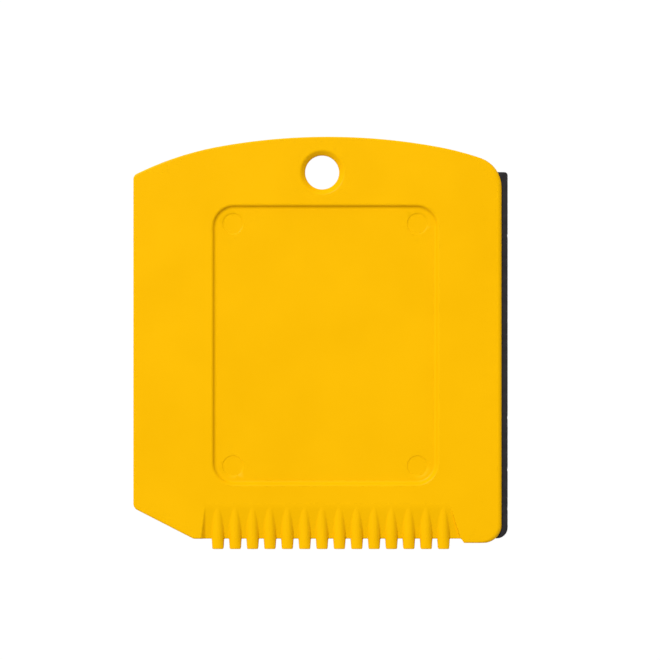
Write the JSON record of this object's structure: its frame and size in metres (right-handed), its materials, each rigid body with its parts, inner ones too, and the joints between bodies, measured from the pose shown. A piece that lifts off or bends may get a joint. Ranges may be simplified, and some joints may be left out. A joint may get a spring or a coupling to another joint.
{
  "type": "ice scraper",
  "caption": "Flat moulded ice scraper with a toothed edge, a plain scraping edge, a sunk panel, a hanging hole and a rubber wiper lip.",
  "frame": {"origin": "under the middle of the whole object, on the surface that it lies on", "axes": "+Z out of the face with the pin marks, +Y from the teeth towards the hanging hole, +X towards the wiper lip"},
  "size_m": [0.1046, 0.115, 0.005],
  "materials": {
    "yellow_plastic": "satin moulded",
    "black_rubber": "matte extruded"
  },
  "bodies": {
    "plate": {"scraper_plate": "yellow_plastic"},
    "lip": {"wiper_lip": "black_rubber"}
  },
  "joints": [
    {"name": "lip_flex", "type": "hinge", "parent": "plate", "child": "lip", "pos_m": [0.0505, 0, 0.0025], "axis": [0, 1, 0], "range_deg": [-12, 12], "stiffness_Nm_per_rad": 0.15, "deforming": ["wiper_lip"]}
  ]
}
